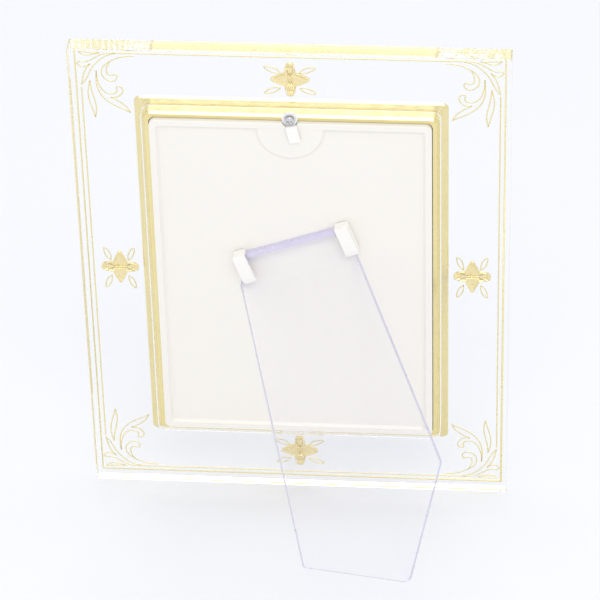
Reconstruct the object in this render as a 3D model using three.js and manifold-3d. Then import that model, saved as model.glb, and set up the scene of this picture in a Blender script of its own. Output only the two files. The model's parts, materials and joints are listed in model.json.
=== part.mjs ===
// Clear plate picture frame with a gold window surround, a rear tray and a plug-in strut.
// Millimetres, +Z up. The front faces -Y and the frame leans back on its lower rear edge and the strut.
// Plate coordinates inside the leaning group: x across, y out of the rear face (y = 0), z up the plate.
import * as THREE from 'three';
import { mergeVertices } from 'three/addons/utils/BufferGeometryUtils.js';
import Module from 'manifold-3d';

const wasm = await Module();
wasm.setup();

// Glass plate
const plateWidth = 200;
const plateHeight = 250;
const plateThickness = 9;
const plateChamfer = 0.4;
const plateCornerRadius = 1.2;

// Picture and the sheets in front of and behind it
const pictureWidth = 127;
const pictureHeight = 177.8;
const pictureThickness = 0.3;
const coverSheetThickness = 1.5;
const backingCardThickness = 1.2;
const pocketClearance = 1.1;
const sheetGap = 0.3;

// Gold bezel
const sleeveWall = 2.9;
const flangeWidth = 4;
const flangeThickness = 1.7;
const flangeBevel = 0.5;
const lipOverlap = 3;
const flangeCornerRadius = 2.7;
const sleeveCornerRadius = 3.5;
const sleeveRound = 1.2;
const pocketCornerRadius = 3;
const windowClearance = 0.3;
const seatGap = 0.3;

// Back cover tray
const trayClearance = 0.3;
const trayProud = 2.4;
const trayWall = 2;
const trayPanelThickness = 2;
const trayRimWidth = 3;
const trayRecessDepth = 1.6;
const trayBevel = 0.3;
const trayInnerRadius = 1;
const recessRadius = 1.5;
const recessRamp = 1.2;
const padRadius = 15.7;
const padDrop = 4;
const padBelowRim = 0.2;
const padBevel = 1;
const tabWidth = 14;
const tabThickness = 2;
const tabReach = 1.6;
const tabClearance = 0.35;

// Turn button, washer and screw
const screwShankRadius = 1;
const screwHoleClearance = 0.15;
const screwHeadRadius = 2.1;
const screwHeadHeight = 1.3;
const screwLength = 6;
const screwTipShare = 0.6;
const screwTableShare = 0.45;
const screwDomeSteps = 6;
const driveSlotShare = 0.6;
const driveSlotWidth = 0.7;
const driveSlotDepth = 0.9;
const washerRadius = 2.6;
const washerThickness = 0.4;
const buttonRadius = 3.6;
const buttonThickness = 1.1;
const buttonLength = 11.8;
const buttonWidth = 5.4;
const buttonTurn = 12;
const buttonTipShare = 0.2;
const buttonBevel = 0.25;
const washerGap = 0.25;
const stepInset = 0.15;
const buttonGap = 0.25;
const bossWall = 2.4;
const bossDepth = 5;
const buttonNotchClearance = 0.35;

// Strut and its two brackets
const leanAngle = 13;
const strutThickness = 4;
const strutTilt = 20;
const strutBend = 36.5;
const strutTopWidth = 52.4;
const strutBendDrop = 17.4;
const strutBendRadius = 8;
const strutBendOverlap = 2;
const strutShoulder = 5;
const strutFootRight = 35.2;
const strutFootLeft = -12.3;
const strutWidestLeft = -41.1;
const strutCornerRadius = 3;
const tongueCornerRadius = 0.6;
const shoulderRadius = 1;
const bendSteps = 12;
const strutTopHeight = 149.4;
const strutTopChamfer = 1.5;
const strutOffset = 1;
const strutStandOff = 0.6;
const slotClearance = 0.3;
const slotDepth = 4.1;
const bracketOuterWall = 2.1;
const bracketRearWall = 1.6;
const bracketTopWall = 1.5;
const bracketLength = 16.2;
const bracketCorner = 1.2;
const bracketBevel = 0.35;
const bracketRampLength = 3.2;
const bracketRampDepth = 1.1;
const pegRadius = 1.6;
const pegClearance = 0.3;
const pegLength = 1.6;

// Cast stars and their stones
const starShareOfBorder = 0.62;
const starInsetShareOfBorder = 0.61;
const starLobeShare = 0.265;
const starArmShare = 0.386;
const starTipShare = 0.06;
const starBevelShare = 0.35;
const starThickness = 1.5;
const stoneShareOfStar = 0.09;
const starWaistShare = 1.15;
const starSweepAlong = 0.6;
const starSweepAcross = 0.75;
const starChannelLengthShare = 0.36;
const starChannelWidthShare = 0.11;
const starChannelDepth = 0.45;
const stoneSeatClearance = 0.12;
const stoneFloor = 0.85;
const stoneHeight = 1.1;
const stoneBackShare = 0.7;
const stoneGirdleShare = 0.55;
const stoneTableShare = 0.6;

// Derived sizes
const deg = Math.PI / 180;
const pocketHalfX = pictureWidth / 2 + pocketClearance;
const pocketHalfZ = pictureHeight / 2 + pocketClearance / 2;
const sleeveHalfX = pocketHalfX + sleeveWall;
const sleeveHalfZ = pocketHalfZ + sleeveWall;
const trayHalfX = pocketHalfX - trayClearance;
const trayHalfZ = pocketHalfZ - trayClearance;
const middle = plateHeight / 2;
const flangeRear = -plateThickness - seatGap;
const coverSheetRear = flangeRear + sheetGap + coverSheetThickness;
const pictureRear = coverSheetRear + sheetGap + pictureThickness;
const backingCardRear = pictureRear + sheetGap + backingCardThickness;
const trayFront = backingCardRear + sheetGap;
const panelRear = trayProud - trayRecessDepth;
const screwZ = middle + pocketHalfZ + sleeveWall / 2;
const screwHoleRadius = screwShankRadius + screwHoleClearance;
const bossRadius = screwHoleRadius + bossWall;
const notchRadius = buttonRadius + buttonNotchClearance;
const buttonRear = buttonGap + buttonThickness;
const washerRear = buttonRear + buttonGap + washerThickness;
const headFront = washerRear + buttonGap / 2;
const tongueFront = trayProud + buttonGap;
const tongueHalf = strutTopWidth / 2;
const bracketInner = tongueHalf + slotClearance - slotDepth;
const bracketOuter = tongueHalf + slotClearance + bracketOuterWall;
const strutMid = panelRear + strutStandOff + strutThickness / 2;
const shoulderZ = -bracketLength + bracketTopWall - slotClearance;
const borderX = plateWidth / 2 - sleeveHalfX - flangeWidth;
const borderZ = middle - sleeveHalfZ - flangeWidth;
const starSpan = Math.min(borderX, borderZ) * starShareOfBorder;
const starLobeWidth = starSpan * starLobeShare;
const starArmWidth = starSpan * starArmShare;
const starTipWidth = starSpan * starTipShare;
const starBevel = starTipWidth * starBevelShare;
const stoneRadius = starSpan * stoneShareOfStar;

const glass = new THREE.MeshStandardMaterial({ color: '#f4fafb', roughness: 0.03, metalness: 0 });
const acrylic = new THREE.MeshStandardMaterial({ color: '#eeeef8', roughness: 0.05, metalness: 0 });
const gold = new THREE.MeshStandardMaterial({ color: '#e6cf8c', roughness: 0.2, metalness: 1 });
const castGold = new THREE.MeshStandardMaterial({ color: '#f0c44c', roughness: 0.25, metalness: 1 });
const whitePlastic = new THREE.MeshStandardMaterial({ color: '#f4f2ec', roughness: 0.4, metalness: 0 });
const steel = new THREE.MeshStandardMaterial({ color: '#d8d8da', roughness: 0.15, metalness: 1 });
const paper = new THREE.MeshStandardMaterial({ color: '#f6f5f0', roughness: 0.9, metalness: 0 });
const card = new THREE.MeshStandardMaterial({ color: '#d9d3c6', roughness: 0.95, metalness: 0 });
const stone = new THREE.MeshStandardMaterial({ color: '#f7e3c4', roughness: 0.05, metalness: 0 });

// Outlines

function roundedRectangle(halfX, halfZ, radius, path = new THREE.Shape()) {
  const inX = halfX - radius;
  const inZ = halfZ - radius;
  path.absarc(inX, inZ, radius, 0, Math.PI / 2);
  path.absarc(-inX, inZ, radius, Math.PI / 2, Math.PI);
  path.absarc(-inX, -inZ, radius, Math.PI, Math.PI * 1.5);
  path.absarc(inX, -inZ, radius, Math.PI * 1.5, Math.PI * 2);
  path.closePath();
  return path;
}

function ringOutline(outerX, outerZ, outerRadius, innerX, innerZ, innerRadius) {
  const shape = roundedRectangle(outerX, outerZ, outerRadius);
  shape.holes.push(roundedRectangle(innerX, innerZ, innerRadius, new THREE.Path()));
  return shape;
}

// A closed outline through points [x, z, radius], with an arc of that radius at each corner.
function roundedPolygon(corners) {
  const shape = new THREE.Shape();
  corners.forEach(([x, z, radius], i) => {
    const here = new THREE.Vector2(x, z);
    const before = corners[(i + corners.length - 1) % corners.length];
    const after = corners[(i + 1) % corners.length];
    const toBefore = new THREE.Vector2(before[0] - x, before[1] - z).normalize();
    const toAfter = new THREE.Vector2(after[0] - x, after[1] - z).normalize();
    const halfAngle = Math.acos(toBefore.dot(toAfter)) / 2;
    const setback = radius / Math.tan(halfAngle);
    const start = here.clone().addScaledVector(toBefore, setback);
    const end = here.clone().addScaledVector(toAfter, setback);
    if (i === 0) shape.moveTo(start.x, start.y);
    else shape.lineTo(start.x, start.y);
    if (radius > 0) shape.quadraticCurveTo(x, z, end.x, end.y);
  });
  shape.closePath();
  return shape;
}

// Solids

// Extrudes an outline in x and z into a slab between two depths on y, with a bevel on both faces.
function slab(shape, front, rear, bevel = 0, curveSegments = 6) {
  const geometry = new THREE.ExtrudeGeometry(shape, {
    depth: rear - front - 2 * bevel,
    curveSegments,
    bevelEnabled: bevel > 0,
    bevelSize: bevel,
    bevelThickness: bevel,
    bevelOffset: -bevel,
    bevelSegments: 1,
  });
  geometry.rotateX(Math.PI / 2);
  geometry.translate(0, rear - bevel, 0);
  return geometry;
}

// A round bar along y, centred on x and z.
function bar(radius, front, rear, x = 0, z = 0, segments = 32) {
  const geometry = new THREE.CylinderGeometry(radius, radius, rear - front, segments);
  geometry.translate(x, (front + rear) / 2, z);
  return geometry;
}

function box(x0, x1, y0, y1, z0, z1) {
  const geometry = new THREE.BoxGeometry(x1 - x0, y1 - y0, z1 - z0);
  geometry.translate((x0 + x1) / 2, (y0 + y1) / 2, (z0 + z1) / 2);
  return geometry;
}

function toSolid(geometry) {
  const bare = geometry.clone();
  bare.deleteAttribute('normal');
  bare.deleteAttribute('uv');
  const merged = mergeVertices(bare, 1e-4);
  return new wasm.Manifold(new wasm.Mesh({
    numProp: 3,
    vertProperties: new Float32Array(merged.attributes.position.array),
    triVerts: new Uint32Array(merged.index.array),
  }));
}

function toGeometry(solid) {
  const { vertProperties, triVerts } = solid.getMesh();
  const geometry = new THREE.BufferGeometry();
  geometry.setAttribute('position', new THREE.BufferAttribute(new Float32Array(vertProperties), 3));
  geometry.setIndex(new THREE.BufferAttribute(new Uint32Array(triVerts), 1));
  geometry.computeVertexNormals();
  return geometry;
}

function join(...geometries) {
  return toGeometry(geometries.map(toSolid).reduce((sum, solid) => sum.add(solid)));
}

function cut(geometry, ...tools) {
  return toGeometry(tools.map(toSolid).reduce((rest, tool) => rest.subtract(tool), toSolid(geometry)));
}

function keep(geometry, tool) {
  return toGeometry(toSolid(geometry).intersect(toSolid(tool)));
}

function part(name, geometry, material) {
  const mesh = new THREE.Mesh(geometry, material);
  mesh.name = name;
  return mesh;
}

// Glass plate with a rounded window for the bezel's sleeve.
function glassPlate() {
  const shape = ringOutline(
    plateWidth / 2, middle, plateCornerRadius,
    sleeveHalfX + windowClearance, sleeveHalfZ + windowClearance, sleeveCornerRadius,
  );
  const plate = slab(shape, -plateThickness, 0, plateChamfer);
  plate.translate(0, 0, middle);
  return part('glass_plate', plate, glass);
}

// Gold bezel: front flange, sleeve through the window, lip in front of the sheets, screw boss and tab slot.
function goldBezel() {
  const lipX = pictureWidth / 2 - lipOverlap;
  const lipZ = pictureHeight / 2 - lipOverlap;
  const flangeOutline = ringOutline(
    sleeveHalfX + flangeWidth, sleeveHalfZ + flangeWidth, flangeCornerRadius,
    lipX, lipZ, pocketCornerRadius,
  );
  const sleeveOutline = roundedRectangle(sleeveHalfX, sleeveHalfZ, sleeveCornerRadius);
  const sleeveFront = flangeRear - sleeveRound;
  const flange = slab(flangeOutline, flangeRear - flangeThickness, flangeRear, flangeBevel);
  const sleeve = cut(
    slab(sleeveOutline, sleeveFront, 0, sleeveRound),
    slab(roundedRectangle(pocketHalfX, pocketHalfZ, pocketCornerRadius), sleeveFront - 1, 1),
  );
  const bossZ = screwZ - middle;
  const boss = keep(
    bar(bossRadius, -bossDepth, 0, 0, bossZ),
    slab(sleeveOutline, -bossDepth - sleeveRound, 0, sleeveRound),
  );
  const pilot = bar(screwHoleRadius, -screwLength - sheetGap, 1, 0, bossZ);
  const tabSlot = box(
    -tabWidth / 2 - tabClearance, tabWidth / 2 + tabClearance,
    panelRear - tabThickness - tabClearance, 1,
    -pocketHalfZ - tabReach + trayClearance - tabClearance, -pocketHalfZ + 1,
  );
  const bezel = cut(join(flange, sleeve, boss), pilot, tabSlot);
  bezel.translate(0, 0, middle);
  return part('gold_bezel', bezel, gold);
}

// Flat sheets held between the bezel's lip and the tray.
function sheet(name, halfX, halfZ, rear, thickness, material) {
  const geometry = slab(roundedRectangle(halfX, halfZ, pocketCornerRadius), rear - thickness, rear);
  geometry.translate(0, 0, middle);
  return part(name, geometry, material);
}

function sheets() {
  const halfX = pocketHalfX - sheetGap;
  const halfZ = pocketHalfZ - sheetGap;
  return [
    sheet('cover_sheet', halfX, halfZ, coverSheetRear, coverSheetThickness, acrylic),
    sheet('picture_card', pictureWidth / 2, pictureHeight / 2, pictureRear, pictureThickness, paper),
    sheet('backing_card', halfX, halfZ, backingCardRear, backingCardThickness, card),
  ];
}

// Tray: open towards the card, with a raised rim, a pad for the turn button and a locating tab below.
function backCover() {
  const outer = roundedRectangle(trayHalfX, trayHalfZ, pocketCornerRadius);
  const body = slab(outer, trayFront, trayProud, trayBevel);
  const hollow = slab(
    roundedRectangle(trayHalfX - trayWall, trayHalfZ - trayWall, trayInnerRadius),
    trayFront - 1, panelRear - trayPanelThickness,
  );
  const recess = slab(
    roundedRectangle(trayHalfX - trayRimWidth, trayHalfZ - trayRimWidth, recessRadius),
    panelRear, trayProud + recessRamp + 1, recessRamp,
  );
  const padOutline = new THREE.Shape();
  padOutline.absarc(0, 0, padRadius, Math.PI, Math.PI * 2);
  padOutline.lineTo(padRadius, padDrop - trayWall / 2);
  padOutline.lineTo(-padRadius, padDrop - trayWall / 2);
  padOutline.closePath();
  const pad = slab(padOutline, panelRear - trayPanelThickness / 2, trayProud - padBelowRim, padBevel, 20);
  pad.translate(0, 0, trayHalfZ - padDrop);
  const tab = box(
    -tabWidth / 2, tabWidth / 2,
    panelRear - tabThickness, panelRear,
    -trayHalfZ - tabReach, -trayHalfZ + 1,
  );
  const notch = bar(notchRadius, trayFront - 1, trayProud + 1, 0, screwZ - middle, 48);
  const shell = cut(body, hollow, recess);
  const pegHoles = [-1, 1].map((side) => bracketPeg(side, pegRadius + pegClearance, pegLength + 1));
  const tray = cut(join(shell, pad, tab), notch, ...pegHoles);
  tray.translate(0, 0, middle);
  return part('back_cover', tray, whitePlastic);
}

// The peg that locates a bracket in the panel, in plate coordinates centred on the plate.
function bracketPeg(side, radius, depth) {
  const along = side * (bracketInner + bracketOuter) / 2;
  const x = strutOffset + along * Math.cos(strutTilt * deg) - bracketLength / 2 * Math.sin(strutTilt * deg);
  const z = strutTopHeight - middle - along * Math.sin(strutTilt * deg)
    - bracketLength / 2 * Math.cos(strutTilt * deg);
  return bar(radius, panelRear - depth, panelRear + 1, x, z);
}

// Channel bracket: a block over the panel with a slot open to the strut's side and downwards.
function strutBracket(name, side) {
  const inner = side > 0 ? bracketInner : -bracketOuter;
  const outer = side > 0 ? bracketOuter : -bracketInner;
  const outline = roundedPolygon([
    [inner, bracketTopWall, side > 0 ? 0 : bracketCorner],
    [inner, -bracketLength + bracketTopWall, side > 0 ? 0 : bracketCorner],
    [outer, -bracketLength + bracketTopWall, side > 0 ? bracketCorner : 0],
    [outer, bracketTopWall, side > 0 ? bracketCorner : 0],
  ]);
  const rear = strutMid + strutThickness / 2 + slotClearance + bracketRearWall;
  const body = slab(outline, panelRear + seatGap, rear, bracketBevel);
  const slotInner = side > 0 ? bracketInner - 1 : -tongueHalf - slotClearance;
  const slotOuter = side > 0 ? tongueHalf + slotClearance : -bracketInner + 1;
  const slot = box(
    slotInner, slotOuter,
    strutMid - strutThickness / 2 - slotClearance / 2, strutMid + strutThickness / 2 + slotClearance,
    -bracketLength, slotClearance,
  );
  const ramp = box(-plateWidth, plateWidth, 0, bracketLength, -bracketLength, bracketLength);
  ramp.rotateX(-Math.atan(bracketRampDepth / bracketRampLength));
  ramp.translate(0, rear, -bracketLength + bracketTopWall + bracketRampLength);
  const pegX = side * (bracketInner + bracketOuter) / 2;
  const pegRear = strutMid - strutThickness / 2 - slotClearance / 2;
  const pegEnd = (panelRear + seatGap + pegRear) / 2;
  const peg = bar(pegRadius, panelRear - pegLength, pegEnd, pegX, -bracketLength / 2);
  return part(name, join(cut(body, slot, ramp), peg), whitePlastic);
}

// Strut geometry. Its own axes: x along the top edge, y out of the plate, z up; the leg hangs below a bend.

const plateUp = new THREE.Vector3(0, -Math.sin(leanAngle * deg), Math.cos(leanAngle * deg));
const strutTurn = new THREE.Euler(0, strutTilt * deg, 0, 'YXZ');
const legTurn = new THREE.Euler(strutBend * deg, strutTilt * deg, 0, 'YXZ');
const strutTop = new THREE.Vector3(strutOffset, strutMid, strutTopHeight);
const bendPoint = new THREE.Vector3(0, 0, -strutBendDrop).applyEuler(strutTurn).add(strutTop);

// A point of the leg in plate coordinates: x across, z up from the bend, y off the mid-plane.
function legPoint(x, y, z) {
  return new THREE.Vector3(x, y, z).applyEuler(legTurn).add(bendPoint);
}

// How far the leg runs below the bend, at x, until its face at y meets a plane through a point.
function legReach(x, y, point, normal) {
  const start = legPoint(x, y, 0).sub(point).dot(normal);
  const drop = new THREE.Vector3(0, 0, -1).applyEuler(legTurn).dot(normal);
  return -start / drop;
}

// The outline below the bend: a foot edge flat on the table upright, and one flat on it lying on its side.
function legOutline() {
  const frontFace = -strutThickness / 2;
  const rearFace = strutThickness / 2;
  const rightReach = legReach(strutFootRight, frontFace, new THREE.Vector3(), plateUp);
  const leftReach = legReach(strutFootLeft, frontFace, new THREE.Vector3(), plateUp);
  const heel = legPoint(strutFootLeft, rearFace, -leftReach);
  const sideEdge = new THREE.Vector3(-plateWidth / 2, 0, 0);
  const sidePlane = new THREE.Vector3(heel.y, -(heel.x - sideEdge.x), 0).normalize();
  const widestReach = legReach(strutWidestLeft, rearFace, sideEdge, sidePlane);
  return roundedPolygon([
    [-tongueHalf, 0, 0],
    [tongueHalf + strutShoulder, 0, 0],
    [strutFootRight, -rightReach, strutCornerRadius / 2],
    [strutFootLeft, -leftReach, strutCornerRadius],
    [strutWidestLeft, -widestReach, strutCornerRadius],
  ]);
}

// Side view of the bent sheet: mid-plane offset to both sides, with the bend as arcs.
function strutProfile(length) {
  const half = strutThickness / 2;
  const bend = strutBend * deg;
  const setback = strutBendRadius * Math.tan(bend / 2);
  const legDirection = new THREE.Vector2(Math.sin(bend), -Math.cos(bend));
  const legNormal = new THREE.Vector2(Math.cos(bend), Math.sin(bend));
  const bendCorner = new THREE.Vector2(0, -strutBendDrop);
  const arcCentre = new THREE.Vector2(strutBendRadius, -strutBendDrop + setback);
  const side = (offset, points) => {
    for (let i = 0; i <= bendSteps; i += 1) {
      const angle = Math.PI + bend * i / bendSteps;
      const radius = strutBendRadius - offset;
      points.push(new THREE.Vector2(
        arcCentre.x + radius * Math.cos(angle), arcCentre.y + radius * Math.sin(angle),
      ));
    }
    points.push(bendCorner.clone().addScaledVector(legDirection, length).addScaledVector(legNormal, offset));
  };
  const rearPoints = [
    new THREE.Vector2(half - strutTopChamfer, 0),
    new THREE.Vector2(half, -strutTopChamfer),
  ];
  const frontPoints = [new THREE.Vector2(-half, 0)];
  side(half, rearPoints);
  side(-half, frontPoints);
  return new THREE.Shape([...rearPoints, ...frontPoints.reverse()]);
}

// Strut: the bent sheet trimmed by the tongue's outline above the bend and the leg's outline below it.
function strut() {
  const wide = plateWidth;
  const long = plateHeight;
  const sheetStrip = new THREE.ExtrudeGeometry(strutProfile(long), { depth: wide, bevelEnabled: false });
  sheetStrip.translate(0, 0, -wide / 2);
  sheetStrip.applyMatrix4(new THREE.Matrix4().makeBasis(
    new THREE.Vector3(0, 1, 0), new THREE.Vector3(0, 0, 1), new THREE.Vector3(1, 0, 0),
  ));
  const tongueOutline = roundedPolygon([
    [-tongueHalf, 0, tongueCornerRadius],
    [-tongueHalf, -strutBendDrop - strutBendOverlap, 0],
    [tongueHalf + strutShoulder, -strutBendDrop - strutBendOverlap, 0],
    [tongueHalf + strutShoulder, shoulderZ, shoulderRadius],
    [tongueHalf, shoulderZ, 0],
    [tongueHalf, 0, tongueCornerRadius],
  ]);
  const deep = strutThickness * 2;
  const tongueCutter = slab(tongueOutline, -deep, deep);
  const legCutter = slab(legOutline(), -deep, deep);
  legCutter.rotateX(strutBend * deg);
  legCutter.translate(0, 0, -strutBendDrop);
  return part('strut', keep(sheetStrip, join(tongueCutter, legCutter)), acrylic);
}

// Turn button: a round base on the boss, a step over the tray's rim and a tongue over the pad.
function turnButton() {
  const base = bar(buttonRadius, buttonGap, buttonRear, 0, 0, 40);
  const tongueOutline = roundedPolygon([
    [-buttonWidth / 2, -washerRadius - washerGap, 0],
    [-buttonWidth / 2, -buttonLength, buttonWidth * buttonTipShare],
    [buttonWidth / 2, -buttonLength, buttonWidth * buttonTipShare],
    [buttonWidth / 2, -washerRadius - washerGap, 0],
  ]);
  const tongue = slab(tongueOutline, tongueFront, tongueFront + buttonThickness, buttonBevel);
  const riser = box(
    -buttonWidth / 2, buttonWidth / 2,
    buttonRear - buttonThickness / 2, tongueFront + buttonThickness / 2,
    -buttonRadius + stepInset, -washerRadius - washerGap,
  );
  const trimmed = keep(riser, bar(buttonRadius, 0, tongueFront + buttonThickness, 0, 0, 40));
  const hole = bar(screwHoleRadius, -1, buttonRear + 1, 0, 0, 24);
  return part('turn_button', cut(join(base, tongue, trimmed), hole), whitePlastic);
}

function buttonWasher() {
  const ring = cut(
    bar(washerRadius, buttonRear + buttonGap, washerRear, 0, 0, 40),
    bar(screwHoleRadius, 0, washerRear + 1, 0, 0, 24),
  );
  return part('button_washer', ring, steel);
}

// Pan head screw with a cross drive.
function buttonScrew() {
  const profile = [new THREE.Vector2(0, headFront - screwLength)];
  profile.push(new THREE.Vector2(screwShankRadius * screwTipShare, headFront - screwLength));
  profile.push(new THREE.Vector2(screwShankRadius, headFront - screwLength + screwShankRadius));
  profile.push(new THREE.Vector2(screwShankRadius, headFront));
  profile.push(new THREE.Vector2(screwHeadRadius, headFront));
  const rise = screwHeadHeight / 2;
  for (let i = 0; i < screwDomeSteps; i += 1) {
    const angle = i / screwDomeSteps * Math.PI / 2;
    profile.push(new THREE.Vector2(
      screwHeadRadius * (screwTableShare + (1 - screwTableShare) * Math.cos(angle)),
      headFront + rise + rise * Math.sin(angle),
    ));
  }
  profile.push(new THREE.Vector2(0, headFront + screwHeadHeight));
  const screw = new THREE.LatheGeometry(profile, 32);
  const slotTop = headFront + screwHeadHeight + 1;
  const slotFloor = headFront + screwHeadHeight - driveSlotDepth;
  const slotHalf = screwHeadRadius * driveSlotShare;
  const wide = driveSlotWidth / 2;
  const drive = [
    box(-slotHalf, slotHalf, slotFloor, slotTop, -wide, wide),
    box(-wide, wide, slotFloor, slotTop, -slotHalf, slotHalf),
  ];
  return part('button_screw', cut(screw, ...drive), steel);
}

// Four-armed star: two pointed arms along the border and two rounded lobes across it.
function starOutline() {
  const tip = starSpan / 2;
  const lobe = starLobeWidth / 2;
  const arm = starArmWidth / 2;
  const point = starTipWidth / 2;
  const waist = lobe * starWaistShare;
  const sweepX = tip * starSweepAlong;
  const sweepZ = arm * starSweepAcross;
  const shape = new THREE.Shape();
  shape.moveTo(tip, -point);
  shape.lineTo(tip, point);
  shape.quadraticCurveTo(sweepX, sweepZ, waist, arm);
  shape.lineTo(lobe, tip - lobe);
  shape.absarc(0, tip - lobe, lobe, 0, Math.PI);
  shape.lineTo(-waist, arm);
  shape.quadraticCurveTo(-sweepX, sweepZ, -tip, point);
  shape.lineTo(-tip, -point);
  shape.quadraticCurveTo(-sweepX, -sweepZ, -waist, -arm);
  shape.lineTo(-lobe, -tip + lobe);
  shape.absarc(0, -tip + lobe, lobe, Math.PI, Math.PI * 2);
  shape.lineTo(waist, -arm);
  shape.quadraticCurveTo(sweepX, -sweepZ, tip, -point);
  return shape;
}

// The casting: a seat for the stone in front and a cast channel along the lobes behind.
function star(name) {
  const rear = -plateThickness - seatGap;
  const front = rear - starThickness;
  const seat = bar(stoneRadius + stoneSeatClearance, front - 1, rear - stoneFloor, 0, 0, 24);
  const channelX = starSpan * starChannelWidthShare / 2;
  const channelZ = starSpan * starChannelLengthShare / 2;
  const channel = box(-channelX, channelX, rear - starChannelDepth, rear + 1, -channelZ, channelZ);
  const body = slab(starOutline(), front, rear, starBevel, 5);
  return part(name, cut(body, seat, channel), castGold);
}

// Round stone with a flat table in front.
function starStone(name) {
  const back = -plateThickness - seatGap - stoneFloor - stoneSeatClearance;
  const profile = [
    new THREE.Vector2(0, back),
    new THREE.Vector2(stoneRadius * stoneBackShare, back),
    new THREE.Vector2(stoneRadius, back - stoneHeight * stoneGirdleShare),
    new THREE.Vector2(stoneRadius * stoneTableShare, back - stoneHeight),
    new THREE.Vector2(0, back - stoneHeight),
  ];
  return part(name, new THREE.LatheGeometry(profile.reverse(), 12), stone);
}

function ornaments() {
  const acrossX = plateWidth / 2 - borderX * starInsetShareOfBorder;
  const acrossZ = middle - borderZ * starInsetShareOfBorder;
  const places = [
    ['top', 0, middle + acrossZ, 0],
    ['bottom', 0, middle - acrossZ, 0],
    ['left', -acrossX, middle, Math.PI / 2],
    ['right', acrossX, middle, Math.PI / 2],
  ];
  return places.map(([place, x, z, turn]) => {
    const group = new THREE.Group();
    group.add(star(`ornament_${place}`), starStone(`stone_${place}`));
    group.position.set(x, 0, z);
    group.rotation.y = turn;
    return group;
  });
}

function turnButtonGroup() {
  const group = new THREE.Group();
  const button = turnButton();
  button.rotation.y = buttonTurn * deg;
  group.add(button, buttonWasher(), buttonScrew());
  group.position.set(0, 0, screwZ);
  return group;
}

function strutGroup() {
  const group = new THREE.Group();
  group.add(strutBracket('strut_bracket_right', 1), strutBracket('strut_bracket_left', -1));
  group.children.forEach((bracket) => bracket.position.set(0, -strutMid, 0));
  group.add(strut());
  group.rotation.copy(strutTurn);
  group.position.copy(strutTop);
  return group;
}

// Assembly, leaned back, then moved so that the origin is on the table under the middle of its box.
const plateGroup = new THREE.Group();
plateGroup.add(glassPlate(), goldBezel(), ...sheets(), backCover());
plateGroup.add(turnButtonGroup(), strutGroup(), ...ornaments());
plateGroup.rotation.x = -leanAngle * deg;

const stand = new THREE.Group();
stand.name = 'photo_album_stand';
stand.add(plateGroup);
stand.updateMatrixWorld(true);
const bounds = new THREE.Box3().setFromObject(stand, true);
plateGroup.position.set(
  -(bounds.min.x + bounds.max.x) / 2, -(bounds.min.y + bounds.max.y) / 2, -bounds.min.z,
);

export default stand;
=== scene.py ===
# Clear plate picture frame seen from behind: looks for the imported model, Blender 4.5.
import json
import math
import bmesh
import bpy
from mathutils import Matrix, Vector


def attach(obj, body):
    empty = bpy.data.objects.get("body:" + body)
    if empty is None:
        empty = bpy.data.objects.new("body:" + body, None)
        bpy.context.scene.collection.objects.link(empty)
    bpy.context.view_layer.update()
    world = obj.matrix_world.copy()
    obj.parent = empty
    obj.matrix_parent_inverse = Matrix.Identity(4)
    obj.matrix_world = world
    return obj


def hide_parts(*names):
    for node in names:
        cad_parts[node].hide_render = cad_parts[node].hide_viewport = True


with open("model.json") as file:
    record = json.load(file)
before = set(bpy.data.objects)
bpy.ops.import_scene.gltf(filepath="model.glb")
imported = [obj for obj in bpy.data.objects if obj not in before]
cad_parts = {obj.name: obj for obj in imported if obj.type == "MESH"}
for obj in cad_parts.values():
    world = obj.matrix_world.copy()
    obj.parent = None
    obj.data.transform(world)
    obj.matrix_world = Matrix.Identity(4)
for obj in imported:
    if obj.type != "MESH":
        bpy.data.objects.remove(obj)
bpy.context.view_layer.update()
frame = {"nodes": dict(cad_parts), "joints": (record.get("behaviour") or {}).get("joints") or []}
scene = bpy.context.scene
mm = 0.001
starSpots = ("top", "bottom", "left", "right")


# plate coordinates: x across, y out of the rear face, z up the plate
def plateMatrix():
    spin = next(j for j in frame["joints"] if j["name"] == "turn_button_spin")
    across = Vector((1, 0, 0))
    outward = Vector(spin["axis"]).normalized()
    up = across.cross(outward)
    points = [v.co for v in frame["nodes"]["glass_plate"].data.vertices]
    origin = outward * max(p.dot(outward) for p in points) + up * min(p.dot(up) for p in points)
    columns = (across, outward, up, origin)
    return Matrix([[c[i] for c in columns] for i in range(3)] + [[0, 0, 0, 1]])


plateToWorld = plateMatrix()
worldToPlate = plateToWorld.inverted()


def plateBox(node):
    points = [worldToPlate @ v.co for v in frame["nodes"][node].data.vertices]
    low = Vector([min(p[i] for p in points) for i in range(3)])
    high = Vector([max(p[i] for p in points) for i in range(3)])
    return low, high


def linear(hexColour):
    # sRGB to linear light
    parts = [int(hexColour[i:i + 2], 16) / 255 for i in (1, 3, 5)]
    return [c / 12.92 if c <= 0.04045 else ((c + 0.055) / 1.055) ** 2.4 for c in parts] + [1.0]


def addNode(tree, kind, inputs=None, **settings):
    node = tree.nodes.new(kind)
    for key, value in settings.items():
        setattr(node, key, value)
    for key, value in (inputs or {}).items():
        if isinstance(value, bpy.types.NodeSocket):
            tree.links.new(value, node.inputs[key])
        else:
            node.inputs[key].default_value = value
    return node


def link(obj):
    scene.collection.objects.link(obj)
    return obj


def baked(obj, name):
    graph = bpy.context.evaluated_depsgraph_get()
    mesh = bpy.data.meshes.new_from_object(obj.evaluated_get(graph))
    mesh.name = name
    done = link(bpy.data.objects.new(name, mesh))
    bpy.data.objects.remove(obj)
    return done


def shadeSmooth(mesh):
    mesh.polygons.foreach_set("use_smooth", [True] * len(mesh.polygons))


meshCleaning = {
    "mergeDistance": 0.002,   # mm
    "flatAngle": 0.6,         # degrees between faces that are joined into one flat
    "sharpAngle": 30,         # degrees between faces whose edge is rounded
    "segments": 3,            # of a rounded edge, where a piece doesn't give its own
}


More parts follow.
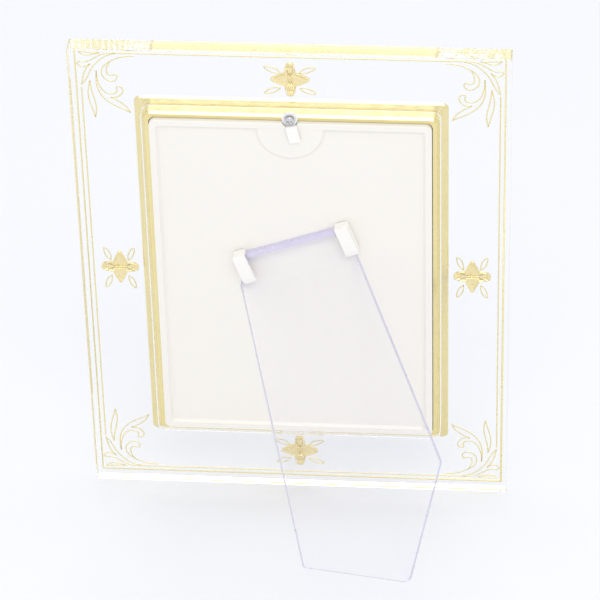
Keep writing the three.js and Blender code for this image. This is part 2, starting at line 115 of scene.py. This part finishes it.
def finishEdges(obj, name, width, segments):
    # rounds the sharp edges, then keeps the flats flat with weighted normals
    bevel = obj.modifiers.new("edges", "BEVEL")
    bevel.width = width * mm
    bevel.segments = segments
    bevel.limit_method = "ANGLE"
    bevel.angle_limit = math.radians(meshCleaning["sharpAngle"])
    bevel.use_clamp_overlap = True
    weights = obj.modifiers.new("normals", "WEIGHTED_NORMAL")
    weights.keep_sharp = True
    shadeSmooth(obj.data)
    return baked(obj, name)


def copyNode(node):
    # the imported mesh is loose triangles, so the copy is merged and its flats are joined again
    mesh = frame["nodes"][node].data.copy()
    work = bmesh.new()
    work.from_mesh(mesh)
    bmesh.ops.remove_doubles(work, verts=work.verts, dist=meshCleaning["mergeDistance"] * mm)
    flat = math.radians(meshCleaning["flatAngle"])
    bmesh.ops.dissolve_limit(work, angle_limit=flat, verts=work.verts, edges=work.edges)
    bmesh.ops.recalc_face_normals(work, faces=work.faces)
    work.to_mesh(mesh)
    work.free()
    return link(bpy.data.objects.new(node + "Work", mesh))


def dress(obj, material):
    obj.data.materials.clear()
    obj.data.materials.append(material)


def place(obj, body, slot, material, nodes=()):
    dress(obj, material)
    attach(obj, body)
    if nodes:
        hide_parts(*nodes)


# finishes: every size is the width of the noise pattern in mm
noiseSpan = (0.3, 0.7)   # nearly all of the noise lies between these values


def noise(tree, where, size, detail=3.0):
    return addNode(tree, "ShaderNodeTexNoise", {
        "Vector": where, "Scale": 1 / (size * mm), "Detail": detail,
    }).outputs["Fac"]


def addTint(tree, shader, where, size, first, second, detail=3.0):
    # the Mix node keeps its colours in sockets 6 and 7, and its result in 2
    factor = noise(tree, where, size, detail)
    mix = addNode(tree, "ShaderNodeMix", {"Factor": factor}, data_type="RGBA")
    mix.inputs[6].default_value = linear(first)
    mix.inputs[7].default_value = linear(second)
    tree.links.new(mix.outputs[2], shader.inputs["Base Color"])


def addGloss(tree, shader, where, size, low, high):
    spread = addNode(tree, "ShaderNodeMapRange", {
        "Value": noise(tree, where, size), "From Min": noiseSpan[0], "From Max": noiseSpan[1],
        "To Min": low, "To Max": high,
    })
    tree.links.new(spread.outputs["Result"], shader.inputs["Roughness"])


def addRelief(tree, shader, where, size, detail, strength, depth):
    result = addNode(tree, "ShaderNodeBump", {
        "Height": noise(tree, where, size, detail), "Strength": strength, "Distance": depth * mm,
    })
    tree.links.new(result.outputs["Normal"], shader.inputs["Normal"])


def passLamps(tree, shader):
    # lamp light and scattered light go straight through, so the clear pieces throw no dark shadow
    path = addNode(tree, "ShaderNodeLightPath")
    either = addNode(tree, "ShaderNodeMath", {
        0: path.outputs["Is Shadow Ray"], 1: path.outputs["Is Diffuse Ray"],
    }, operation="MAXIMUM")
    clear = addNode(tree, "ShaderNodeBsdfTransparent")
    mix = addNode(tree, "ShaderNodeMixShader", {
        0: either.outputs[0], 1: shader.outputs["BSDF"], 2: clear.outputs["BSDF"],
    })
    tree.links.new(mix.outputs["Shader"], tree.nodes["Material Output"].inputs["Surface"])


def addDepthTint(tree, colour, density):
    depth = addNode(tree, "ShaderNodeVolumeAbsorption", {"Color": linear(colour), "Density": density})
    tree.links.new(depth.outputs["Volume"], tree.nodes["Material Output"].inputs["Volume"])


def makeFinish(name, values, tint, gloss=None, relief=None, clear=False, depthTint=None):
    material = bpy.data.materials.new(name)
    material.use_nodes = True
    tree = material.node_tree
    shader = tree.nodes["Principled BSDF"]
    for key, value in values.items():
        shader.inputs[key].default_value = value
    where = addNode(tree, "ShaderNodeTexCoord").outputs["Object"]
    addTint(tree, shader, where, **tint)
    if gloss:
        addGloss(tree, shader, where, **gloss)
    if relief:
        addRelief(tree, shader, where, **relief)
    if clear:
        passLamps(tree, shader)
    if depthTint:
        addDepthTint(tree, **depthTint)
    return material


def clearAcrylic(name, depthTint=None):
    # cast acrylic sheet, clear through, with a slow waviness in its faces
    return makeFinish(
        name, {"Transmission Weight": 1.0, "IOR": 1.49, "Roughness": 0.0},
        tint={"size": 45, "first": "#fdfdff", "second": "#ffffff"},
        relief={"size": 30, "detail": 1.0, "strength": 0.015, "depth": 0.4},
        clear=True, depthTint=depthTint,
    )


def whitePlastic(name, warm, cool, roughness, grain):
    # injection moulded ABS: a skin from a lightly eroded mould
    return makeFinish(
        name, {"IOR": 1.53, "Roughness": roughness},
        tint={"size": 45, "first": warm, "second": cool},
        gloss={"size": 6, "low": roughness - 0.04, "high": roughness + 0.05},
        relief={"size": grain, "detail": 2.0, "strength": 0.12, "depth": 0.04},
    )


def paperStock(name, first, second, size):
    # uncoated paper stock: matt, with a cloudy fibre pattern and finer fibres in its relief
    return makeFinish(
        name, {"Roughness": 0.85},
        tint={"size": size, "first": first, "second": second, "detail": 5.0},
        relief={"size": size / 6, "detail": 3.0, "strength": 0.3, "depth": 0.05},
    )


# cast crystal glass, ground and flame polished: clear, with a slow waviness in its faces
glassFinish = makeFinish(
    "polishedCrystalGlass", {"Transmission Weight": 1.0, "IOR": 1.5, "Roughness": 0.0},
    tint={"size": 60, "first": "#fdfefe", "second": "#ffffff"},
    relief={"size": 38, "detail": 1.0, "strength": 0.015, "depth": 0.4}, clear=True,
)
# the strut's sheet is tinted along its length
strutFinish = clearAcrylic("lilacTintedAcrylic", {"colour": "#9a8ff0", "density": 2.5})
# the sawn edge of the same sheet: satin, and lilac because it gathers the sheet's tint
edgeFinish = makeFinish(
    "sawnAcrylicEdge", {"Transmission Weight": 0.12, "IOR": 1.49, "Roughness": 0.3},
    tint={"size": 6, "first": "#cbc5df", "second": "#dad6e9"},
    gloss={"size": 5, "low": 0.26, "high": 0.34}, clear=True,
)
coverFinish = clearAcrylic("clearAcrylicSheet")
# moulded ABS with bright champagne gold plating: mirror-like with a slight orange peel
bezelFinish = makeFinish(
    "champagneGoldPlating", {"Metallic": 1.0, "Roughness": 0.16},
    tint={"size": 14, "first": "#ecdc9c", "second": "#f3e6b0"},
    gloss={"size": 5, "low": 0.12, "high": 0.2},
    relief={"size": 1.1, "detail": 2.0, "strength": 0.05, "depth": 0.05},
)
# gold plated zinc casting: warm yellow, with the soft grain of a casting under the plating
starFinish = makeFinish(
    "castYellowGold", {"Metallic": 1.0, "Roughness": 0.22},
    tint={"size": 3.5, "first": "#f9e3a0", "second": "#fdefba"},
    gloss={"size": 1.2, "low": 0.14, "high": 0.32},
    relief={"size": 0.7, "detail": 3.0, "strength": 0.25, "depth": 0.08},
)
# hot-stamped gold foil on the glass: thin, pale, with an uneven sheen
printFinish = makeFinish(
    "hotStampedGoldFoil", {"Metallic": 0.4, "Roughness": 0.3},
    tint={"size": 2.0, "first": "#f5e6a0", "second": "#faefb8"},
    gloss={"size": 0.8, "low": 0.24, "high": 0.4},
)
trayFinish = whitePlastic("satinWhiteAbs", "#f1eee6", "#efece4", 0.42, 0.5)
clipFinish = whitePlastic("glossWhiteAbs", "#f6f4ef", "#f3f1ec", 0.25, 0.9)
# nickel plated steel, barrel polished: bright with faint handling marks
screwFinish = makeFinish(
    "nickelPlatedSteel", {"Metallic": 1.0, "Roughness": 0.12},
    tint={"size": 2.5, "first": "#c9c9cc", "second": "#dedee0"},
    gloss={"size": 0.6, "low": 0.08, "high": 0.2},
)
paperFinish = paperStock("uncoatedPaper", "#f4f2ec", "#efede6", 6)
cardFinish = paperStock("greyBackingCard", "#d6d0c2", "#cbc4b4", 3)
# cut glass stone with a warm foil: clear, bright facets
stoneFinish = makeFinish(
    "foiledGlassStone", {"Transmission Weight": 0.6, "IOR": 1.56, "Roughness": 0.03},
    tint={"size": 1.0, "first": "#8a5a2a", "second": "#c08848"},
)
print("materials made")


# pieces that follow their CAD nodes, with the width of the edge rounding in mm
shapedPieces = {
    "glassPlate": {"node": "glass_plate", "body": "frame", "slot": "glass",
                   "finish": glassFinish, "rounding": 0.12, "segments": 2},
    "goldBezel": {"node": "gold_bezel", "body": "frame", "slot": "plated_gold",
                  "finish": bezelFinish, "rounding": 0.5},
    "backTray": {"node": "back_cover", "body": "frame", "slot": "white_plastic",
                 "finish": trayFinish, "rounding": 0.25},
    "strutBracket_left": {"node": "strut_bracket_left", "body": "frame", "slot": "white_plastic",
                          "finish": clipFinish, "rounding": 0.35},
    "strutBracket_right": {"node": "strut_bracket_right", "body": "frame", "slot": "white_plastic",
                           "finish": clipFinish, "rounding": 0.35},
    "turnButton": {"node": "turn_button", "body": "turn_button", "slot": "white_plastic",
                   "finish": clipFinish, "rounding": 0.2},
    "strutSheet": {"node": "strut", "body": "strut", "slot": "clear_acrylic",
                   "finish": strutFinish, "rounding": 0.3},
}

shaped = {}
for name, piece in shapedPieces.items():
    segments = piece.get("segments", meshCleaning["segments"])
    shaped[name] = finishEdges(copyNode(piece["node"]), name, piece["rounding"], segments)
    place(shaped[name], piece["body"], piece["slot"], piece["finish"], [piece["node"]])

cutEdges = {
    "away": 0.6,      # an edge's normal leans less than this towards either flat
    "topBand": 2.2,   # mm below the top that also count as edge
    "flat": 0.95,     # unless the normal leans this much towards the tongue's flat
}


def markCutEdges(obj, edgeMaterial):
    # the sawn edges take their own look: faces that turn away from both flats, and the top edge
    tongueOut = (plateToWorld.to_3x3() @ Vector((0, 1, 0))).normalized()
    legOut = max(obj.data.polygons, key=lambda f: f.area).normal.copy()
    upward = tongueOut.cross(legOut).normalized().cross(tongueOut)
    if upward.z < 0:
        upward = -upward
    top = max(v.co.dot(upward) for v in obj.data.vertices)
    obj.data.materials.append(edgeMaterial)
    for face in obj.data.polygons:
        toTongue, toLeg = abs(face.normal.dot(tongueOut)), abs(face.normal.dot(legOut))
        inBand = face.center.dot(upward) > top - cutEdges["topBand"] * mm
        if max(toTongue, toLeg) < cutEdges["away"] or (inBand and toTongue < cutEdges["flat"]):
            face.material_index = 1


markCutEdges(shaped["strutSheet"], edgeFinish)

cadFinishes = {
    "cover_sheet": coverFinish, "picture_card": paperFinish, "backing_card": cardFinish,
    "button_washer": screwFinish, "button_screw": screwFinish,
    **{"stone_" + spot: stoneFinish for spot in starSpots},
}
for node, finish in cadFinishes.items():
    dress(frame["nodes"][node], finish)
print("pieces placed")


# cast stars: a swelling front with a cup for the stone, a hollow back with two channels and bead marks
starShape = {
    "angles": 160, "rings": 30,
    "rise": 0.9,                                  # mm: swell of the front
    "edgeRound": 0.45, "edgeFrom": 0.9, "edgeShare": 0.1,   # rim rounding in mm, and where it lies
    "hollow": 0.35, "hollowEnd": 0.84, "hollowFade": 0.2,   # depth in mm, and where it ends
    "channelLength": 3.2, "channelEndFade": 0.3,  # mm from here on
    "channelGap": 0.6, "channelWidth": 0.34, "channelSideFade": 0.16, "channelDepth": 0.75,
    "beadAt": 6.2, "beadGap": 0.75, "beadRadius": 0.5, "beadFade": 0.3, "beadDepth": 0.4,
    "cupRadius": 1.75, "cupFade": 0.25, "cupDepth": 0.55,
    "seatReach": 1.9,                             # CAD points nearer the centre are the stone's seat
    "faceMargin": 0.01,                           # CAD points this near a face aren't the outline
}


def smoothStep(edge, width, value):
    t = min(max((value - edge) / width + 0.5, 0), 1)
    return t * t * (3 - 2 * t)


def starOutline(node, low, high, centre):
    # the outermost CAD point in each direction, taken between the two faces
    work = copyNode(node)
    points = [worldToPlate @ v.co for v in work.data.vertices]
    bpy.data.objects.remove(work)
    margin = starShape["faceMargin"] * mm
    reach = {}
    for p in points:
        if low.y + margin < p.y < high.y - margin:
            key = round(math.atan2(p.z - centre.z, p.x - centre.x), 3)
            if key not in reach or (p - centre).length > (reach[key] - centre).length:
                reach[key] = p
    polar = [(math.atan2(p.z - centre.z, p.x - centre.x), math.hypot(p.x - centre.x, p.z - centre.z))
             for p in reach.values()]
    return sorted(p for p in polar if p[1] > starShape["seatReach"] * mm)


def starRim(polar):
    # distance from the centre to the outline at each angle, read between the outline's points
    turn = 2 * math.pi
    loop = [(polar[-1][0] - turn, polar[-1][1])] + polar + [(polar[0][0] + turn, polar[0][1])]
    radii = []
    for k in range(starShape["angles"]):
        angle = -math.pi + turn * k / starShape["angles"]
        before = max(p for p in loop if p[0] <= angle)
        after = min(p for p in loop if p[0] > angle)
        ax, az = before[1] * math.cos(before[0]), before[1] * math.sin(before[0])
        bx, bz = after[1] * math.cos(after[0]), after[1] * math.sin(after[0])
        cross = math.cos(angle) * (bz - az) - math.sin(angle) * (bx - ax)
        radii.append((angle, (ax * bz - az * bx) / cross))
    return radii


def starBack(u, v, t):
    # depth of the back below its rim, with v along the lobes and t the share of the way out
    s = starShape
    depth = s["hollow"] * (1 - smoothStep(s["hollowEnd"], s["hollowFade"], t))
    inChannel = 1 - smoothStep(s["channelLength"], s["channelEndFade"], abs(v))
    besideChannel = 1 - smoothStep(s["channelWidth"], s["channelSideFade"], abs(abs(u) - s["channelGap"]))
    bead = math.hypot(abs(u) - s["beadGap"], abs(v) - s["beadAt"])
    depth += s["channelDepth"] * inChannel * besideChannel
    return depth + s["beadDepth"] * (1 - smoothStep(s["beadRadius"], s["beadFade"], bead))


def starFront(u, v, t):
    # height of the front above its face
    s = starShape
    swell = s["rise"] * (1 - t * t)
    cup = 1 - smoothStep(s["cupRadius"], s["cupFade"], math.hypot(u, v))
    past = max(0.0, (t - s["edgeFrom"]) / s["edgeShare"])
    rounding = s["edgeRound"] * (1 - math.sqrt(max(0.0, 1 - past ** 2)))
    return swell * (1 - cup) - s["cupDepth"] * cup - rounding


def starRows(rim, low, high, centre, lobesUp):
    # rings of points from the front's middle out to the rim, and back in over the rear
    rows = []
    steps = range(1, starShape["rings"] + 1)
    for isFront, order in ((True, steps), (False, reversed(steps))):
        for k in order:
            t = k / starShape["rings"]
            row = []
            for angle, radius in rim:
                x, z = radius * t * math.cos(angle), radius * t * math.sin(angle)
                u, v = (x / mm, z / mm) if lobesUp else (z / mm, x / mm)
                y = low.y - starFront(u, v, t) * mm if isFront else high.y - starBack(u, v, t) * mm
                row.append(plateToWorld @ Vector((centre.x + x, y, centre.z + z)))
            rows.append(row)
    return rows


def castStar(spot):
    node, name = "ornament_" + spot, "castStar_" + spot
    low, high = plateBox(node)
    centre = (low + high) / 2
    rim = starRim(starOutline(node, low, high, centre))
    rows = starRows(rim, low, high, centre, spot in ("top", "bottom"))
    work = bmesh.new()
    rings = [[work.verts.new(p) for p in row] for row in rows]
    count = starShape["angles"]
    for a, b in zip(rings, rings[1:]):
        for k in range(count):
            work.faces.new((a[k], a[(k + 1) % count], b[(k + 1) % count], b[k]))
    frontHub = low.y + starShape["cupDepth"] * mm
    backHub = high.y - starBack(0, 0, 0) * mm
    for ring, y in ((rings[0], frontHub), (rings[-1], backHub)):
        hub = work.verts.new(plateToWorld @ Vector((centre.x, y, centre.z)))
        for k in range(count):
            work.faces.new((ring[k], ring[(k + 1) % count], hub))
    bmesh.ops.recalc_face_normals(work, faces=work.faces)
    mesh = bpy.data.meshes.new(name)
    work.to_mesh(mesh)
    work.free()
    shadeSmooth(mesh)
    place(link(bpy.data.objects.new(name, mesh)), "frame", "cast_gold", starFinish, [node])


for spot in starSpots:
    castStar(spot)
print("stars cast")


# gold print on the front face of the plate, all in mm
printSizes = {
    "outerInset": 2.85, "outerWidth": 1.05,      # from the plate's edge, line width
    "innerInset": 5.1, "innerWidth": 0.65,
    "innerStartX": 20.0, "innerStartZ": 23.6,    # where the inner line leaves the corner foliage
    "foliageWidth": 0.6, "leafWidth": 0.6,
    "thickness": 0.03, "depth": 0.05,            # foil thickness, and how far inside the face it lies
    "step": 0.5,                                 # length of one straight bit of a smoothed stroke
}

# pen strokes of one corner, mm from the two edges of the plate
cornerStrokes = [
    [(4.6, 4.6), (8.0, 4.75), (11.5, 5.1), (14.2, 4.9)],
    [(4.6, 4.6), (6.6, 6.1), (9.4, 6.3), (12.2, 5.6), (14.2, 4.9)],
    [(3.6, 11.0), (5.0, 9.9), (7.0, 10.2), (9.2, 9.5), (11.7, 7.9), (14.6, 6.1), (17.5, 5.3), (21.0, 5.1)],
    [(3.6, 11.0), (5.2, 12.5), (7.5, 12.5), (9.6, 11.1)],
    [(9.6, 11.1), (7.8, 13.6), (6.6, 16.2), (5.8, 19.2), (5.1, 22.4)],
    [(5.1, 22.4), (7.0, 20.0), (8.8, 16.4), (10.4, 13.2), (12.9, 10.0), (15.8, 7.5), (18.7, 6.0),
     (21.5, 5.3)],
    [(9.1, 20.2), (8.3, 23.5), (7.9, 27.5), (8.4, 31.6), (9.5, 35.6), (10.6, 40.0)],
    [(9.1, 20.2), (9.6, 25.0), (10.4, 29.0), (11.2, 33.0), (11.2, 36.4), (10.6, 40.0)],
    [(12.3, 14.6), (12.0, 19.5), (12.2, 23.0), (13.3, 26.6), (15.5, 30.0), (18.5, 32.5), (21.6, 34.3),
     (24.4, 35.7), (26.8, 37.1)],
    [(26.8, 37.1), (25.3, 34.2), (23.2, 32.2), (20.6, 30.3), (18.0, 28.9)],
    [(18.0, 28.9), (20.2, 29.0), (22.4, 27.9), (23.8, 25.8), (23.5, 24.0), (22.2, 23.0), (20.9, 23.5),
     (21.3, 25.0), (20.8, 26.3), (19.4, 27.0), (17.5, 27.0), (15.5, 26.0), (14.0, 24.0), (13.0, 21.4),
     (12.3, 18.0), (12.3, 14.6)],
    [(30.0, 6.5), (26.6, 6.7), (23.4, 7.3), (20.6, 8.5), (18.6, 9.8), (17.4, 12.0), (16.9, 13.9),
     (17.0, 15.7), (17.9, 16.9), (19.1, 17.1), (20.3, 16.6), (21.3, 17.0), (21.6, 18.3), (20.7, 19.7),
     (19.0, 20.3), (17.0, 19.7), (15.3, 18.0), (14.6, 15.9), (15.0, 13.6), (16.3, 11.4), (18.6, 9.8)],
]
# one leaf outline beside a star, mm from the star's centre
starLeaf = [(4.4, 4.0), (6.2, 5.95), (9.0, 7.0), (11.6, 7.1), (10.0, 5.3), (7.2, 4.1), (4.4, 4.0)]


def strokeCurve(name, strokes):
    curve = bpy.data.curves.new(name, "CURVE")
    curve.dimensions = "3D"
    for stroke in strokes:
        spline = curve.splines.new("POLY")
        spline.points.add(len(stroke) - 1)
        for point, (x, y) in zip(spline.points, stroke):
            point.co = (x * mm, y * mm, 0, 1)
    return link(bpy.data.objects.new(name, curve))


def foilTree(name, placements, smooth):
    # strokes are smoothed, copied to their places, swept with a flat section and made real
    tree = bpy.data.node_groups.new(name, "GeometryNodeTree")
    socketKinds = {"Geometry": "Geometry", "Line Width": "Float", "Foil Thickness": "Float",
                   "Step": "Float", "Finish": "Material"}
    for label, kind in socketKinds.items():
        tree.interface.new_socket(label, in_out="INPUT", socket_type="NodeSocket" + kind)
    tree.interface.new_socket("Geometry", in_out="OUTPUT", socket_type="NodeSocketGeometry")
    given = addNode(tree, "NodeGroupInput").outputs
    line = given["Geometry"]
    if smooth:
        curved = addNode(tree, "GeometryNodeCurveSplineType", {"Curve": line}, spline_type="CATMULL_ROM")
        line = addNode(tree, "GeometryNodeResampleCurve", {
            "Curve": curved.outputs["Curve"], "Length": given["Step"],
        }, mode="LENGTH").outputs["Curve"]
    together = addNode(tree, "GeometryNodeJoinGeometry")
    for offset, turn, scale in placements:
        moved = addNode(tree, "GeometryNodeTransform", {
            "Geometry": line, "Translation": offset, "Rotation": (0, 0, turn), "Scale": scale,
        })
        tree.links.new(moved.outputs["Geometry"], together.inputs["Geometry"])
    flat = addNode(tree, "GeometryNodeSetCurveNormal", {"Curve": together.outputs["Geometry"]}, mode="Z_UP")
    section = addNode(tree, "GeometryNodeCurvePrimitiveQuadrilateral", {
        "Width": given["Line Width"], "Height": given["Foil Thickness"],
    }, mode="RECTANGLE")
    swept = addNode(tree, "GeometryNodeCurveToMesh", {
        "Curve": flat.outputs["Curve"], "Profile Curve": section.outputs["Curve"], "Fill Caps": True,
    })
    real = addNode(tree, "GeometryNodeRealizeInstances", {"Geometry": swept.outputs["Mesh"]})
    done = addNode(tree, "GeometryNodeSetMaterial", {
        "Geometry": real.outputs["Geometry"], "Material": given["Finish"],
    })
    addNode(tree, "NodeGroupOutput", {"Geometry": done.outputs["Geometry"]})
    return tree


plateLow, plateHigh = plateBox("glass_plate")
plateWide = plateHigh.x - plateLow.x
plateTall = plateHigh.z - plateLow.z


def printFoil(name, strokes, width, placements, smooth=True):
    source = strokeCurve(name + "Strokes", strokes)
    tree = foilTree(name, placements, smooth)
    modifier = source.modifiers.new(name, "NODES")
    modifier.node_group = tree
    sockets = {s.name: s.identifier for s in tree.interface.items_tree if s.in_out == "INPUT"}
    modifier[sockets["Line Width"]] = width * mm
    modifier[sockets["Foil Thickness"]] = printSizes["thickness"] * mm
    modifier[sockets["Step"]] = printSizes["step"] * mm
    modifier[sockets["Finish"]] = printFinish
    foil = baked(source, name)
    # the drawing's x and y become the plate's x and z
    flatToPlate = Matrix((
        (1, 0, 0, 0),
        (0, 0, -1, plateLow.y + printSizes["depth"] * mm),
        (0, 1, 0, plateLow.z),
        (0, 0, 0, 1),
    ))
    foil.data.transform(plateToWorld @ flatToPlate)
    work = bmesh.new()
    work.from_mesh(foil.data)
    bmesh.ops.recalc_face_normals(work, faces=work.faces)
    work.to_mesh(foil.data)
    work.free()
    place(foil, "frame", "plated_gold", printFinish)


def cornerPlaces():
    return [((sx * -plateWide / 2, 0 if sz > 0 else plateTall, 0), 0, (sx, sz, 1))
            for sx in (1, -1) for sz in (1, -1)]


def leafPlaces():
    places = []
    for spot in starSpots:
        low, high = plateBox("ornament_" + spot)
        centre = (low + high) / 2
        turn = math.pi / 2 if spot in ("left", "right") else 0
        for sx in (1, -1):
            for sz in (1, -1):
                places.append(((centre.x, centre.z - plateLow.z, 0), turn, (sx, sz, 1)))
    return places


def straightLines():
    halfWide, tall = plateWide / mm / 2, plateTall / mm
    outset, inset = printSizes["outerInset"], printSizes["innerInset"]
    startX, startZ = printSizes["innerStartX"], printSizes["innerStartZ"]
    x = halfWide - outset
    # the last point runs past the first by half a line, which fills the corner
    outer = [[(-x, outset), (x, outset), (x, tall - outset), (-x, tall - outset),
              (-x, outset - printSizes["outerWidth"] / 2)]]
    inner = [[(-halfWide + startX, z), (halfWide - startX, z)] for z in (inset, tall - inset)]
    inner += [[(x, startZ), (x, tall - startZ)] for x in (-halfWide + inset, halfWide - inset)]
    return outer, inner


outerLines, innerLines = straightLines()
asDrawn = [((0, 0, 0), 0, (1, 1, 1))]
printFoil("cornerFoliage", cornerStrokes, printSizes["foliageWidth"], cornerPlaces())
printFoil("outerBorderLine", outerLines, printSizes["outerWidth"], asDrawn, False)
printFoil("innerBorderLine", innerLines, printSizes["innerWidth"], asDrawn, False)
printFoil("starLeaves", [starLeaf], printSizes["leafWidth"], leafPlaces())
print("print made")


# floor, light and camera, in metres
floorEdges = {"left": -6.0, "right": 6.0, "front": 3.0, "back": -4.0}


def makeFloor():
    left, right, front, back = (floorEdges[key] for key in ("left", "right", "front", "back"))
    corners = [(left, front, 0), (right, front, 0), (right, back, 0), (left, back, 0)]
    mesh = bpy.data.meshes.new("floor")
    mesh.from_pydata(corners, [], [(0, 3, 2, 1)])
    floor = link(bpy.data.objects.new("floor", mesh))
    mesh.materials.append(makeFinish(
        "paleFloor", {"Roughness": 0.6, "Specular IOR Level": 0.2},
        tint={"size": 300, "first": "#f2f4f8", "second": "#f4f5f9"},
    ))


makeFloor()

skyLight = {"Color": linear("#fdfdff"), "Strength": 0.94}
world = bpy.data.worlds.new("studio")
scene.world = world
world.use_nodes = True
for key, value in skyLight.items():
    world.node_tree.nodes["Background"].inputs[key].default_value = value

softboxes = {
    "overheadBox": {"at": (0, -1.05, 1.5), "towards": (0, 0, 0.2), "size": (0.9, 0.26), "power": 1.9},
    "cameraSideBox": {"at": (-0.2, 1.75, 1.45), "towards": (0, 0, 0.1), "size": (1.5, 0.8), "power": 11},
}
for name, box in softboxes.items():
    light = bpy.data.lights.new(name, "AREA")
    light.shape = "RECTANGLE"
    light.size, light.size_y = box["size"]
    light.energy = box["power"]
    lamp = link(bpy.data.objects.new(name, light))
    lamp.location = box["at"]
    aim = Vector(box["towards"]) - Vector(box["at"])
    lamp.rotation_euler = aim.to_track_quat("-Z", "Y").to_euler()

scene.view_settings.view_transform = "Standard"
scene.view_settings.look = "None"
lightPaths = {
    "max_bounces": 40, "transmission_bounces": 40, "glossy_bounces": 40,
    "transparent_max_bounces": 24, "sample_clamp_indirect": 6.0,
}
for key, value in lightPaths.items():
    setattr(scene.cycles, key, value)

# places in mm, roll in degrees, lens and sensor in mm
cameraView = {
    "at": (-135.29, 1554.66, 811.51), "towards": (-3.985, 1.222, 119.202), "roll": -0.27,
    "lens": 221.4, "sensor": 36,
}


def makeCamera():
    data = bpy.data.cameras.new("camera")
    data.sensor_width = cameraView["sensor"]
    data.lens = cameraView["lens"]
    camera = link(bpy.data.objects.new("camera", data))
    at = Vector(cameraView["at"]) * mm
    turn = (Vector(cameraView["towards"]) * mm - at).to_track_quat("-Z", "Y").to_matrix().to_4x4()
    roll = Matrix.Rotation(math.radians(cameraView["roll"]), 4, "Z")
    camera.matrix_world = Matrix.Translation(at) @ turn @ roll
    scene.camera = camera


makeCamera()

print("scene ready")
